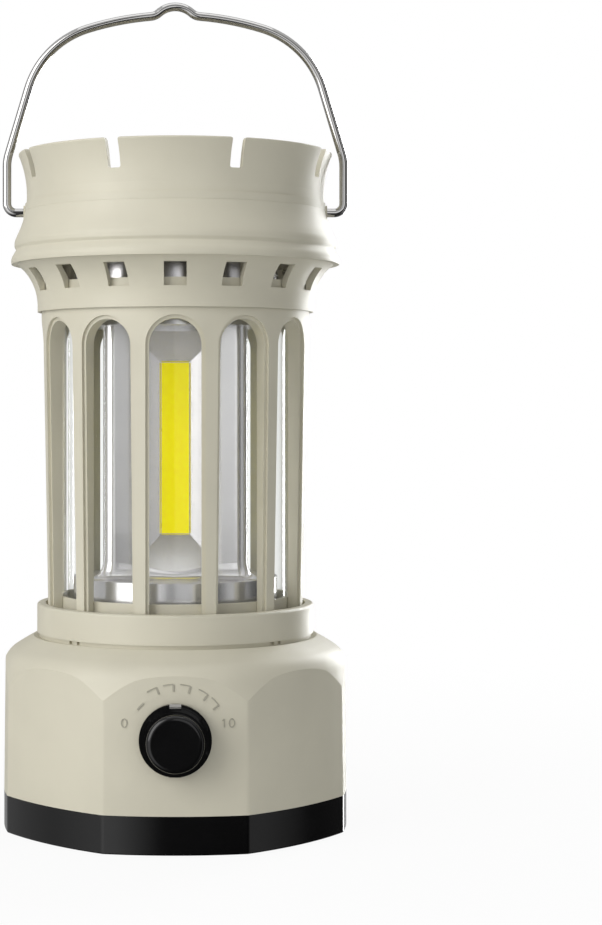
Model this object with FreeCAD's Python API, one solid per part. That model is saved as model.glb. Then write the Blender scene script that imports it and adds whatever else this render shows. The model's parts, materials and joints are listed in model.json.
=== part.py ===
import FreeCAD, Part
import math
import os

# A camping lantern: an eight-sided base with the battery and the dimmer, a slotted cage around a
# clear tube and a three-sided light tower, a flared corbel ring, a notched crown and a wire bail.
# Millimetres. +Z is up, the front is -Y, and the origin is the centre of the face it stands on.

# ---- shared fits and walls ----
RUNNING_FIT = 0.06        # radial room of a shaft or a wire that turns in its hole
SCREW_FIT = 0.05          # radial room between a screw's core and its hole
SLIP_FIT = 0.10           # room between pieces that slide together and then stay
MOVING_GAP = 0.30         # room around a piece that moves
PAST = 5.0                # how far a cutting tool runs past the face it cuts

# ---- base: black cover below, cream housing above ----
FACETS = 8
BASE_HALF_WIDTH = 51.2    # axis to the crest of a facet, at the joint between cover and housing
FACET_BULGE = 2.2         # how far a housing facet's crest stands out from its chord
COVER_BULGE = 2.2
FACET_EDGE = 3.0          # rounding of the upright ridges between facets
COVER_TOP = 11.0
COVER_FLOOR = 2.6
COVER_EDGE = 0.5
FOOT_STAND = 0.15         # the rubber pad holds the cover this far off the ground
PAD_RADIUS = 33.0
PAD_SINK = 0.8
BASE_WALL = 2.2
BASE_HEIGHT = 57.0        # ground to the roof that carries the cage
BASE_DRAFT = 0.6          # degrees that the facets lean inwards
ROOF = 2.6
SHOULDER_DROP = 5.9       # roof down to the crest of a facet
CORNER_DROP = 14.0        # roof down to the top of a corner, which makes the arched facet tops
SLOPE_TOP_DROP = 1.0
SLOPE_BREAK_OUT = 0.354   # place of the break in the shoulder's slope, along its run and its rise
SLOPE_BREAK_UP = 0.667
SLOPE_ROUNDS = (8.0, 14.0, 0.3)  # rounding at the facet crests, at the break and at the top lip
NECK_RADIUS = 40.85
NECK_DROP = 1.4
NECK_LEDGE = 1.75
TONGUE = 2.5
TONGUE_WALL = 1.2
NOTCH_PAIR = 4.2          # degrees between the two small notches of a pair at the neck
NECK_NOTCHES = (1.7, 1.1) # widths of the two notches of a pair
NECK_NOTCH_SIZE = (0.8, 1.1)     # depth and height

# ---- base: screws and posts ----
POST_RADIUS = 3.6
POST_WALL_GAP = 3.1       # inner face of the wall to the near side of a post
COVER_SCREW = {"core": 1.2, "head": 2.8, "thick": 1.4, "bite": 11.0}
SMALL_SCREW = {"core": 1.0, "head": 1.9, "thick": 1.4, "bite": 8.0}
HEAD_ROOM = 0.3
HEAD_SINK = 0.1
CROSS = (0.6, 0.12, 0.5)  # a head's cross recess: half length, half width and depth, as shares

# ---- base: battery and boards ----
CELL_RADIUS = 9.2
CELL_LENGTH = 65.2
CELL_NUB = (3.0, 0.8)
CELL_OFFSET = 12.5        # how far behind the axis the cell lies
CRADLE_PLATE = 1.4
CRADLE_WALL = 2.0
CONTACT = (9.0, 0.5)      # side and thickness of a contact plate
CONTACT_DOME = 3.0
CONTACT_ROOM = 0.75
SADDLE = (3.0, 20.0)      # width, and distance from the middle
BOARD = 1.6
CHARGE_BOARD = (22.0, 20.0)
CHARGE_BOARD_CLEAR = 2.6  # top of the cell to the underside of the charging board
STAND_RADIUS = 2.4
STAND_SPREAD = 8.0
STAND_SETBACK = 14.0
CONTROL_BOARD = (38.0, 24.0)
LEAD_RADIUS = 1.2
LED_LEAD_RADIUS = 1.4
LED_LEAD_BEND = 10.0
LEAD_HOLE = 3.2

# ---- base: charging port on the back ----
SOCKET = (8.94, 3.26, 7.35)
SOCKET_SHELL = 0.3
SOCKET_TONGUE = (6.7, 0.7, 5.5)
PORT_POCKET = (14.0, 8.0, 2.1)
PORT_PAD = 2.9
FLAP = 1.1
FLAP_PIN = (0.5, 0.9)
FLAP_PIN_ROOM = 0.2
FLAP_TAB = (5.0, 1.0, 0.7)

# ---- base: dimmer on the front ----
KNOB_HEIGHT = 32.3
KNOB_GAP = 0.7            # crest of the facet to the back of the knob
KNOB_LENGTH = 8.5
KNOB_FLANGE = (10.1, 1.5)
KNOB_STEP = (9.3, 1.1)
KNOB_BODY = 8.7
KNOB_CAP = (8.1, 2.4)
KNOB_EDGE = 1.4
KNOB_LUGS = 6
KNOB_LUG = (3.2, 9.5, 4.6)
KNOB_LUG_ROOT = (0.5, 0.2)       # how far a lug reaches into the knob, sideways and down
KNOB_HOLLOW = (7.0, 3.2)
POINTER = (3.2, 0.4, 0.3)        # width, how deep it is set in, and how far it stands out
POT_BODY = (8.5, 9.2)
POT_PAD = (9.5, 0.7)
BUSHING = (3.5, 3.4)      # radius, and length past the front of the flat
SHAFT_RADIUS = 3.0
SHAFT_GRIP = 3.3
NUT = (9.5, 2.0)
NUT_FLAT = (7.5, 0.5)     # radius and depth of the flat that the nut sits on

# ---- collar, cage and lens ----
COLLAR_HEIGHT = 8.6
COLLAR_RADIUS = 41.5
COLLAR_EDGE = 0.7
COLLAR_GAP = 0.45
CAGE_HEIGHT = 104.0
CAGE_INNER = 35.0
CAGE_FOOT_RADIUS = 38.54
CAGE_TOP_RADIUS = 40.2
CAGE_TAPER_END = 8.4      # the taper stops this far below the cage's top
WINDOWS = 12
WINDOW_WIDTH = 14.9
WINDOW_STEP = 1.0         # width of the ledge around each window
WINDOW_STEP_DEPTH = 0.9
WINDOW_SILL = 4.0         # roof to the bottom of the windows
WINDOW_HEAD = 11.6        # cage's top down to the crown of the window arches
LENS_RADIUS = 33.7
LENS_WALL = 1.5
LENS_FIT = 0.15
LENS_HEAD = 8.0           # cage's top down to the lens tube's top
GASKET = 0.8
SEAT_FLOOR = 4.2
SEAT_HEIGHT = 11.0

# ---- light tower ----
DRUM_RADIUS = 30.6
DRUM_HEIGHT = 16.5
DRUM_WALL = 1.5
DRUM_PLATE = 2.0
DRUM_BOSS = (3.0, 24.0)
TOWER_HEAD = 13.0         # cage's top down to the tower's top
TOWER_FACE = 14.0         # axis to each flat side
TOWER_CORNER = 3.9
TRAY_HALF_WIDTH = 13.6
TRAY_ENDS = (2.3, 1.5)    # plain face left below and above each tray
CORE_FACE = 5.3
CORE_RADIUS = 9.0
CORE_BORE = 2.4
CORE_SCREW_RADIUS = 6.6
LED_BOARD = (12.0, 1.2, 60.0)
EMITTER = (8.2, 0.5, 50.8)
EMITTER_RISE = 1.2        # the emitters sit this far above the tower's middle
CAP_FLANGE = (34.4, 1.5)

# ---- corbel ring and top plate ----
CORBEL_OVERLAP = 8.4      # how far the skirt reaches down past the cage's top
CORBEL_RADIUS = 41.4
CORBEL_SKIRT = 1.9
CORBEL_COVE = 15.5
CORBEL_RISE = 5.8         # cage's top up to the corbel's top
CORBEL_TOP_WALL = 3.1
CORBEL_GAP = 0.3
PORTS = 16
PORT_WIDTH = 6.4
PORT_HEIGHT = 6.6
PORT_DROP = 1.7           # corbel's top down to the top of the square ports
LUG = (2.6, 42.2, 3.8)    # radius, distance from the axis, and depth of its screw hole
PLATE = 2.4
PLATE_RADIUS = 45.6
PLATE_POST = (2.3, 37.6)

# ---- crown ----
CROWN_HEIGHT = 33.2
CROWN_WALL = 1.8
CROWN_FLANGE = (49.4, 1.6, 0.2)  # widest radius, its height, and how much less at the foot
CROWN_GROOVE = (47.8, 4.3)
CROWN_RIDGE = (48.3, 5.2, 6.8)
CROWN_BOWL = (47.4, 8.9)  # radius and height where the curved wall starts
CROWN_WAIST = (44.6, 20.8)
CROWN_ROUNDS = (3.0, 0.5, 0.9, 3.0)  # at the flange, the groove and the ridge's two edges
CROWN_RIM_RADIUS = 47.25
RIM_ROUND = 0.4
CROWN_LEDGE = (39.9, 2.0)
CROWN_BAND = (15.9, 18.1, 0.52)
NOTCHES = 8
NOTCH = (3.85, 8.4)
NOTCH_CORNER = 0.6
NOTCH_LIP = 0.8           # rounding of the rim's corners at each notch

# ---- bail ----
WIRE_RADIUS = 1.3
PIVOT_RISE = 15.8         # crown's foot up to the bail's pivot
BAIL_HALF_SPAN = 50.7
BAIL_HEEL = 2.8           # bend radius at the foot of each leg
BAIL_LEG = 15.9           # pivot up to where the legs start to lean in
BAIL_LEAN = 16.6
BAIL_KNEE = 12.0
BAIL_RISE = 59.5          # pivot up to the top of the arch, without its hook hump
BAIL_ARCH = 88.7
BAIL_SHOULDER = 27.2
HUMP_RADIUS = 7.5
HUMP_RISE = 2.6
HUMP_FOOT = 4.0
BAIL_HEAD = (2.1, 0.9)
BAIL_BOSS = (3.4, 39.3)   # radius, and distance of its inner face from the axis
BAIL_PAD = (4.0, 1.0)     # square pad outside the crown, and how far it stands out

# ---- levels, all worked out from the sizes above ----
ROOF_TOP = BASE_HEIGHT
ROOF_UNDER = ROOF_TOP - ROOF
FLOOR_TOP = FOOT_STAND + COVER_FLOOR
CAGE_TOP = ROOF_TOP + CAGE_HEIGHT
DRUM_TOP = ROOF_TOP + DRUM_HEIGHT
TOWER_TOP = CAGE_TOP - TOWER_HEAD
LENS_BOTTOM = ROOF_TOP + SEAT_FLOOR + GASKET
LENS_TOP = CAGE_TOP - LENS_HEAD
CORBEL_TOP = CAGE_TOP + CORBEL_RISE
CORBEL_BOTTOM = CAGE_TOP - CORBEL_OVERLAP
CROWN_FOOT = CORBEL_TOP
CROWN_TOP = CROWN_FOOT + CROWN_HEIGHT
PLATE_TOP = CORBEL_TOP + PLATE
LEDGE_TOP = PLATE_TOP + CROWN_LEDGE[1]
PIVOT = CROWN_FOOT + PIVOT_RISE
FACET_TURN = 360.0 / FACETS
EMITTER_MIDDLE = (DRUM_TOP + TOWER_TOP) / 2.0 + EMITTER_RISE
FRONT = -90.0
UP = FreeCAD.Vector(0, 0, 1)
AXIS_X = FreeCAD.Vector(1, 0, 0)
ORIGIN = FreeCAD.Vector(0, 0, 0)


# ---- small building blocks ----
def polar(radius, angle, z=0.0):
    turn = math.radians(angle)
    return FreeCAD.Vector(radius * math.cos(turn), radius * math.sin(turn), z)


def disc(radius, bottom, top, centre=ORIGIN):
    place = FreeCAD.Vector(centre.x, centre.y, bottom)
    return Part.makeCylinder(radius, top - bottom, place, UP)


def tube(outer, inner, bottom, top):
    return disc(outer, bottom, top).cut(disc(inner, bottom - PAST, top + PAST))


def block(x_span, y_span, z_span):
    corner = FreeCAD.Vector(x_span[0], y_span[0], z_span[0])
    return Part.makeBox(x_span[1] - x_span[0], y_span[1] - y_span[0], z_span[1] - z_span[0], corner)


def rod(start, end, radius):
    along = end.sub(start)
    return Part.makeCylinder(radius, along.Length, start, along)


def revolve(points):
    """Turns a closed outline of (radius, height) points about the Z axis."""
    corners = [FreeCAD.Vector(r, 0, z) for r, z in points]
    face = Part.Face(Part.makePolygon(corners + corners[:1]))
    return face.revolve(ORIGIN, UP, 360)


def revolve_edges(edges):
    return Part.Face(Part.Wire(edges)).revolve(ORIGIN, UP, 360)


def flat_line(start, end):
    return Part.LineSegment(FreeCAD.Vector(start[0], 0, start[1]),
                            FreeCAD.Vector(end[0], 0, end[1])).toShape()


def flat_arc(start, middle, end):
    return Part.Arc(*[FreeCAD.Vector(x, 0, z) for x, z in (start, middle, end)]).toShape()


def fillet_points(corner, before, after, radius):
    """Start, middle and end of the arc that rounds a corner between two points."""
    back = (before[0] - corner[0], before[1] - corner[1])
    ahead = (after[0] - corner[0], after[1] - corner[1])
    back_length = math.hypot(*back)
    ahead_length = math.hypot(*ahead)
    back = (back[0] / back_length, back[1] / back_length)
    ahead = (ahead[0] / ahead_length, ahead[1] / ahead_length)
    half = math.acos(back[0] * ahead[0] + back[1] * ahead[1]) / 2
    reach = radius / math.tan(half)
    bisector = (back[0] + ahead[0], back[1] + ahead[1])
    size = math.hypot(*bisector)
    deep = radius / math.sin(half) - radius
    start = (corner[0] + back[0] * reach, corner[1] + back[1] * reach)
    middle = (corner[0] + bisector[0] / size * deep, corner[1] + bisector[1] / size * deep)
    end = (corner[0] + ahead[0] * reach, corner[1] + ahead[1] * reach)
    return start, middle, end


def rounded_edges(points, rounds):
    """Edges through points of (radius, height), with an arc at each inner point that has a round."""
    edges = []
    last = points[0]
    for before, corner, after, radius in zip(points, points[1:], points[2:], rounds):
        if radius > 0:
            arc = fillet_points(corner, before, after, radius)
            edges += [flat_line(last, arc[0]), flat_arc(*arc)]
            last = arc[2]
        else:
            edges.append(flat_line(last, corner))
            last = corner
    edges.append(flat_line(last, points[-1]))
    return edges


def join(shapes):
    return shapes[0].multiFuse(shapes[1:]).removeSplitter()


def around(shape, count, first=0.0):
    """Copies of a shape, evenly spaced about the Z axis and turned by first degrees."""
    copies = []
    for index in range(count):
        copy = shape.copy()
        copy.rotate(ORIGIN, UP, first + index * 360.0 / count)
        copies.append(copy)
    return copies


def facet_outline(crest, bulge, z):
    """An eight-sided outline whose sides are shallow arcs."""
    corner = (crest - bulge) / math.cos(math.radians(FACET_TURN / 2))
    arcs = []
    for index in range(FACETS):
        middle = index * FACET_TURN
        ends = [polar(corner, middle + side * FACET_TURN / 2, z) for side in (-1, 1)]
        arcs.append(Part.Arc(ends[0], polar(crest, middle, z), ends[1]).toShape())
    return Part.Wire(arcs)


def facet_prism(crest, bulge, bottom, top, draft=0.0):
    lean = math.tan(math.radians(draft)) * (top - bottom)
    outlines = [facet_outline(crest, bulge, bottom), facet_outline(crest - lean, bulge, top)]
    return Part.makeLoft(outlines, True, True)


def soft_prism(crest, bulge, bottom, top, draft=0.0):
    """The same prism with its upright ridges rounded."""
    prism = facet_prism(crest, bulge, bottom, top, draft)
    ridges = [e for e in prism.Edges if e.BoundBox.ZLength > (top - bottom) / 2]
    return prism.makeFillet(FACET_EDGE, ridges)


def crest_at(z):
    """Distance from the axis to a housing facet's crest at height z."""
    return BASE_HALF_WIDTH - (z - COVER_TOP) * math.tan(math.radians(BASE_DRAFT))


def inset(points, distance):
    """Moves an open outline of (radius, height) points in towards the axis and down."""
    lines = []
    for (r0, z0), (r1, z1) in zip(points, points[1:]):
        length = math.hypot(r1 - r0, z1 - z0)
        out = ((z1 - z0) / length, (r0 - r1) / length)
        lines.append((r0 - out[0] * distance, z0 - out[1] * distance, r1 - r0, z1 - z0))
    moved = [lines[0][:2]]
    for (r0, z0, a, b), (r1, z1, c, d) in zip(lines, lines[1:]):
        along = ((r1 - r0) * d - (z1 - z0) * c) / (a * d - b * c)
        moved.append((r0 + a * along, z0 + b * along))
    last = lines[-1]
    return moved + [(last[0] + last[2], last[1] + last[3])]


def screw(size, seat, length, direction):
    """A pan-head screw: its head's underside is at seat and its core runs along direction."""
    back = seat.sub(FreeCAD.Vector(direction).multiply(size["thick"]))
    head = rod(back, seat, size["head"])
    tip = seat.add(FreeCAD.Vector(direction).multiply(length))
    whole = head.fuse(rod(seat, tip, size["core"]))
    half = size["head"] * CROSS[0]
    slot = size["head"] * CROSS[1]
    sink = size["thick"] * CROSS[2]
    for spans in (((-half, half), (-slot, slot)), ((-slot, slot), (-half, half))):
        cross = block(spans[0], spans[1], (-PAST, sink))
        cross.Placement = FreeCAD.Placement(back, FreeCAD.Rotation(UP, direction))
        whole = whole.cut(cross)
    return whole


def save(node, shape):
    shape.exportStep("parts/" + node + ".step")
    print(node, len(shape.Solids), round(shape.Volume), shape.isValid())


# ---- base: shells ----
def shoulder_outline():
    """The housing's top seen from the side, from low on the arch cone to the top of the slope."""
    crest = crest_at(ROOF_TOP - SHOULDER_DROP)
    corner = (crest - FACET_BULGE) / math.cos(math.radians(FACET_TURN / 2))
    steep = (corner - crest) / (CORNER_DROP - SHOULDER_DROP)
    foot = (crest + steep * (ROOF_TOP - SHOULDER_DROP - COVER_TOP), COVER_TOP)
    slope = (NECK_RADIUS + NECK_LEDGE, ROOF_TOP - SLOPE_TOP_DROP)
    rise = SHOULDER_DROP - SLOPE_TOP_DROP
    middle = (crest - (crest - slope[0]) * (1 - SLOPE_BREAK_OUT),
              ROOF_TOP - SHOULDER_DROP + rise * SLOPE_BREAK_UP)
    return [foot, (crest, ROOF_TOP - SHOULDER_DROP), middle, slope]


def housing_outer():
    outline = shoulder_outline()
    neck = [(NECK_RADIUS, ROOF_TOP - NECK_DROP), (NECK_RADIUS, ROOF_TOP)]
    edges = rounded_edges([(0, COVER_TOP)] + outline + neck + [(0, ROOF_TOP)],
                          (0,) + SLOPE_ROUNDS + (0, 0))
    envelope = revolve_edges(edges + [flat_line((0, ROOF_TOP), (0, COVER_TOP))])
    prism = soft_prism(BASE_HALF_WIDTH, FACET_BULGE, COVER_TOP, ROOF_TOP, BASE_DRAFT)
    return prism.common(envelope)


def housing_inner():
    outline = inset(shoulder_outline(), BASE_WALL)
    roof_start = (outline[-1][0], min(outline[-1][1], ROOF_UNDER))
    low = outline[0]
    profile = [(0, low[1] - PAST), (low[0], low[1] - PAST)] + outline[:-1] + [roof_start]
    profile = profile + [(roof_start[0], ROOF_UNDER), (0, ROOF_UNDER)]
    prism = facet_prism(BASE_HALF_WIDTH - BASE_WALL, FACET_BULGE, COVER_TOP, ROOF_TOP, BASE_DRAFT)
    skirt = facet_prism(BASE_HALF_WIDTH - BASE_WALL, FACET_BULGE, COVER_TOP - PAST, COVER_TOP)
    return prism.common(revolve(profile)).fuse(skirt)


def post_places():
    reach = BASE_HALF_WIDTH - BASE_WALL - POST_WALL_GAP - POST_RADIUS
    return [polar(reach, 45 + 90 * index) for index in range(4)]


def cage_screw_places():
    reach = (CAGE_INNER + CAGE_FOOT_RADIUS) / 2.0
    return [polar(reach, 45 + 90 * index) for index in range(4)]


def drum_screw_places():
    return [polar(DRUM_BOSS[1], 30 + 120 * index) for index in range(3)]


def make_base_cover():
    shell = soft_prism(BASE_HALF_WIDTH, COVER_BULGE, FOOT_STAND, COVER_TOP)
    bottom_edges = [e for e in shell.Edges if e.BoundBox.ZMax < FOOT_STAND + 0.01]
    shell = shell.makeFillet(COVER_EDGE, bottom_edges)
    inside = facet_prism(BASE_HALF_WIDTH - BASE_WALL, FACET_BULGE, FLOOR_TOP, COVER_TOP + PAST)
    cuts = [inside, disc(PAD_RADIUS + SLIP_FIT, -PAST, FOOT_STAND + PAD_SINK)]
    sink = COVER_SCREW["thick"] + HEAD_SINK
    for place in post_places():
        cuts.append(disc(COVER_SCREW["core"] + HEAD_ROOM, -PAST, FLOOR_TOP + PAST, place))
        cuts.append(disc(COVER_SCREW["head"] + HEAD_ROOM, -PAST, FOOT_STAND + sink, place))
    return shell.cut(cuts)


def make_base_housing():
    outer = housing_outer()
    shell = outer.cut(housing_inner())
    crest = BASE_HALF_WIDTH - BASE_WALL - SLIP_FIT
    tongue = facet_prism(crest, FACET_BULGE, COVER_TOP - TONGUE, COVER_TOP)
    root = facet_prism(crest + SLIP_FIT, FACET_BULGE, COVER_TOP, COVER_TOP + TONGUE)
    hollow = facet_prism(crest - TONGUE_WALL, FACET_BULGE, 0, COVER_TOP + TONGUE + PAST)
    additions = [tongue.fuse(root).cut(hollow)]
    for place in post_places():
        post = disc(POST_RADIUS, COVER_TOP, ROOF_TOP, place).common(outer)
        additions.append(post.fuse(disc(POST_RADIUS, FLOOR_TOP, COVER_TOP, place)))
    y_knob = -crest_at(KNOB_HEIGHT)
    pad_end = FreeCAD.Vector(0, pot_front(), KNOB_HEIGHT)
    additions.append(rod(FreeCAD.Vector(0, y_knob + BASE_WALL / 2, KNOB_HEIGHT), pad_end, POT_PAD[0]))
    port = port_middle()
    half_width = PORT_POCKET[0] / 2 + BASE_WALL
    half_height = PORT_POCKET[1] / 2 + BASE_WALL
    y_pocket = crest_at(port) - PORT_POCKET[2]
    additions.append(block((-half_width, half_width), (y_pocket - PORT_PAD, y_pocket + BASE_WALL / 4),
                           (port - half_height, port + half_height)))
    shell = join([shell] + additions)
    return shell.cut(housing_holes())


def housing_holes():
    cuts = [disc(LEAD_HOLE, ROOF_UNDER - PAST, ROOF_TOP + PAST)]
    bite = FLOOR_TOP + COVER_SCREW["bite"] + HEAD_ROOM
    for place in post_places():
        cuts.append(disc(COVER_SCREW["core"] + SCREW_FIT, FLOOR_TOP - PAST, bite, place))
    for place in cage_screw_places() + drum_screw_places():
        cuts.append(disc(SMALL_SCREW["core"] + SCREW_FIT, ROOF_UNDER - PAST, ROOF_TOP + PAST, place))
    depth, height = NECK_NOTCH_SIZE
    for width, side in zip(NECK_NOTCHES, (-0.5, 0.5)):
        notch = block((NECK_RADIUS - depth, NECK_RADIUS + SLIP_FIT), (-width / 2, width / 2),
                      (ROOF_TOP - height, ROOF_TOP))
        cuts.extend(around(notch, 4, 45 + side * NOTCH_PAIR))
    knob = FreeCAD.Vector(0, -BASE_HALF_WIDTH - PAST, KNOB_HEIGHT)
    cuts.append(rod(knob, FreeCAD.Vector(0, nut_seat(), KNOB_HEIGHT), NUT_FLAT[0]))
    cuts.append(rod(knob, FreeCAD.Vector(0, pot_front() + PAST, KNOB_HEIGHT), BUSHING[0] + SLIP_FIT))
    return cuts + port_holes()


# ---- base: charging port ----
def cell_middle():
    return FLOOR_TOP + CRADLE_PLATE + SLIP_FIT + CELL_RADIUS


def charge_board_bottom():
    return cell_middle() + CELL_RADIUS + CHARGE_BOARD_CLEAR


def port_middle():
    return charge_board_bottom() + BOARD + SOCKET[1] / 2


def socket_mouth():
    return crest_at(port_middle()) - PORT_POCKET[2] - SLIP_FIT


def charge_board_back():
    return crest_at(port_middle()) - PORT_POCKET[2] - PORT_PAD - SLIP_FIT


def hinge_place():
    """Centre of the flap's hinge in the YZ plane: (y, z)."""
    y_inner = crest_at(port_middle()) - PORT_POCKET[2] + MOVING_GAP
    z_low = port_middle() - PORT_POCKET[1] / 2 + MOVING_GAP
    return y_inner + FLAP / 2, z_low + FLAP / 2


def rounded_bar(width, height, front, back, z_middle):
    """A bar along Y with half-round left and right sides."""
    radius = height / 2
    flat = width / 2 - radius
    middle = block((-flat, flat), (front, back), (z_middle - radius, z_middle + radius))
    ends = [rod(FreeCAD.Vector(x, front, z_middle), FreeCAD.Vector(x, back, z_middle), radius)
            for x in (-flat, flat)]
    return join([middle] + ends)


def port_holes():
    port = port_middle()
    y_floor = crest_at(port) - PORT_POCKET[2]
    width, height, depth = PORT_POCKET
    pocket = block((-width / 2, width / 2), (y_floor, y_floor + depth + PAST),
                   (port - height / 2, port + height / 2))
    passage = rounded_bar(SOCKET[0] + 2 * SLIP_FIT, SOCKET[1] + 2 * SLIP_FIT,
                          y_floor - PORT_PAD - PAST, y_floor + PAST, port)
    y_hinge, z_hinge = hinge_place()
    reach = width / 2 - MOVING_GAP + FLAP_PIN[1] + FLAP_PIN_ROOM
    pins = rod(FreeCAD.Vector(-reach, y_hinge, z_hinge), FreeCAD.Vector(reach, y_hinge, z_hinge),
               FLAP_PIN[0] + RUNNING_FIT)
    return [pocket, passage, pins]


def make_usb_socket():
    mouth = socket_mouth()
    port = port_middle()
    shell = rounded_bar(SOCKET[0], SOCKET[1], mouth - SOCKET[2], mouth, port)
    back_wall = mouth - SOCKET[2] + 2 * SOCKET_SHELL
    hollow = rounded_bar(SOCKET[0] - 2 * SOCKET_SHELL, SOCKET[1] - 2 * SOCKET_SHELL,
                         back_wall, mouth + PAST, port)
    width, height, length = SOCKET_TONGUE
    tongue = block((-width / 2, width / 2), (back_wall - SOCKET_SHELL, back_wall + length),
                   (port - height / 2, port + height / 2))
    return join([shell.cut(hollow), tongue])


def make_port_cover():
    y_hinge, z_hinge = hinge_place()
    half_width = PORT_POCKET[0] / 2 - MOVING_GAP
    top = port_middle() + PORT_POCKET[1] / 2 - MOVING_GAP
    plate = block((-half_width, half_width), (y_hinge - FLAP / 2, y_hinge + FLAP / 2), (z_hinge, top))
    barrel = rod(FreeCAD.Vector(-half_width, y_hinge, z_hinge),
                 FreeCAD.Vector(half_width, y_hinge, z_hinge), FLAP / 2)
    reach = half_width + FLAP_PIN[1]
    pins = rod(FreeCAD.Vector(-reach, y_hinge, z_hinge), FreeCAD.Vector(reach, y_hinge, z_hinge),
               FLAP_PIN[0])
    width, height, stand = FLAP_TAB
    tab = block((-width / 2, width / 2), (y_hinge, y_hinge + FLAP / 2 + stand), (top - height, top))
    return join([plate, barrel, pins, tab])


# ---- base: battery, boards and leads ----
def cradle_reach():
    return CELL_LENGTH / 2 + CONTACT_ROOM + CONTACT[1] + SLIP_FIT


def stand_places():
    y = charge_board_back() - STAND_SETBACK
    return [FreeCAD.Vector(x, y, 0) for x in (-STAND_SPREAD, STAND_SPREAD)]


def make_battery_cradle():
    middle = cell_middle()
    reach = cradle_reach()
    plate_top = FLOOR_TOP + CRADLE_PLATE
    front = CELL_OFFSET - CELL_RADIUS - CRADLE_WALL
    back = CELL_OFFSET + CELL_RADIUS + CRADLE_WALL
    pieces = [block((-reach - CRADLE_WALL, reach + CRADLE_WALL), (front, back), (FLOOR_TOP, plate_top))]
    for side in (-1, 1):
        wall = sorted((side * reach, side * (reach + CRADLE_WALL)))
        pieces.append(block(wall, (front, back), (FLOOR_TOP, middle + CELL_RADIUS)))
        saddle = (side * SADDLE[1] - SADDLE[0] / 2, side * SADDLE[1] + SADDLE[0] / 2)
        pieces.append(block(saddle, (front, back), (FLOOR_TOP, middle - CELL_RADIUS / 2)))
    stands = stand_places()
    shelf_back = stands[0].y + STAND_RADIUS
    shelf = STAND_SPREAD + STAND_RADIUS
    pieces.append(block((-shelf, shelf), (back - CRADLE_WALL, shelf_back), (FLOOR_TOP, plate_top)))
    for place in stands:
        pieces.append(disc(STAND_RADIUS, FLOOR_TOP, charge_board_bottom(), place))
    cradle = join(pieces)
    cuts = [rod(FreeCAD.Vector(-reach, CELL_OFFSET, middle), FreeCAD.Vector(reach, CELL_OFFSET, middle),
                CELL_RADIUS + SLIP_FIT)]
    for place in stands:
        depth = charge_board_bottom() - SMALL_SCREW["bite"]
        cuts.append(disc(SMALL_SCREW["core"] + SCREW_FIT, depth, charge_board_bottom() + PAST, place))
    return cradle.cut(cuts)


def make_battery_cell():
    middle = cell_middle()
    nub_radius, nub_length = CELL_NUB
    ends = [FreeCAD.Vector(x, CELL_OFFSET, middle)
            for x in (-CELL_LENGTH / 2, CELL_LENGTH / 2 - nub_length, CELL_LENGTH / 2)]
    return join([rod(ends[0], ends[1], CELL_RADIUS), rod(ends[1], ends[2], nub_radius)])


def make_battery_contacts():
    side, thick = CONTACT
    middle = cell_middle()
    outer = cradle_reach()
    plates = []
    for sign in (-1, 1):
        span = sorted((sign * outer, sign * (outer - thick)))
        plate = block(span, (CELL_OFFSET - side / 2, CELL_OFFSET + side / 2),
                      (middle - side / 2, middle + side / 2))
        dome = rod(FreeCAD.Vector(sign * (outer - thick), CELL_OFFSET, middle),
                   FreeCAD.Vector(sign * (CELL_LENGTH / 2 + SLIP_FIT), CELL_OFFSET, middle), CONTACT_DOME)
        plates.append(join([plate, dome]))
    return Part.makeCompound(plates)


def make_charge_board():
    width, length = CHARGE_BOARD
    back = charge_board_back()
    bottom = charge_board_bottom()
    board = block((-width / 2, width / 2), (back - length, back), (bottom, bottom + BOARD))
    holes = [disc(SMALL_SCREW["core"] + SCREW_FIT, bottom - PAST, bottom + BOARD + PAST, place)
             for place in stand_places()]
    return board.cut(holes)


def make_board_screws():
    top = charge_board_bottom() + BOARD
    down = FreeCAD.Vector(0, 0, -1)
    length = BOARD + SMALL_SCREW["bite"] - HEAD_ROOM
    return Part.makeCompound([screw(SMALL_SCREW, FreeCAD.Vector(p.x, p.y, top), length, down)
                              for p in stand_places()])


def control_board_front():
    return pot_front() + POT_BODY[1]


def make_control_board():
    width, height = CONTROL_BOARD
    front = control_board_front()
    return block((-width / 2, width / 2), (front, front + BOARD),
                 (KNOB_HEIGHT - height / 2, KNOB_HEIGHT + height / 2))


def make_battery_lead():
    z = charge_board_bottom() + BOARD + LEAD_RADIUS
    start = FreeCAD.Vector(0, control_board_front() + BOARD, z)
    end = FreeCAD.Vector(0, charge_board_back() - CHARGE_BOARD[1] + 2 * LEAD_RADIUS, z)
    return rod(start, end, LEAD_RADIUS)


def make_led_lead():
    z = KNOB_HEIGHT + CONTROL_BOARD[1] / 4
    start = FreeCAD.Vector(0, control_board_front() + BOARD, z)
    bend = LED_LEAD_BEND
    low = FreeCAD.Vector(0, -bend, z)
    turn = FreeCAD.Vector(0, -bend + bend * math.sin(math.pi / 4), z + bend * (1 - math.cos(math.pi / 4)))
    high = FreeCAD.Vector(0, 0, z + bend)
    top = FreeCAD.Vector(0, 0, DRUM_TOP + DRUM_HEIGHT)
    path = Part.Wire([Part.LineSegment(start, low).toShape(), Part.Arc(low, turn, high).toShape(),
                      Part.LineSegment(high, top).toShape()])
    section = Part.Wire(Part.makeCircle(LED_LEAD_RADIUS, start, FreeCAD.Vector(0, 1, 0)))
    return path.makePipeShell([section], True, False)


# ---- base: dimmer ----
def nut_seat():
    return -crest_at(KNOB_HEIGHT) + NUT_FLAT[1]


def pot_front():
    """Where the dimmer's body meets the flat pad inside the front wall."""
    return -crest_at(KNOB_HEIGHT) + BASE_WALL + POT_PAD[1]


def knob_back():
    return -crest_at(KNOB_HEIGHT) - KNOB_GAP


def bushing_end():
    return nut_seat() - BUSHING[1]


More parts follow.
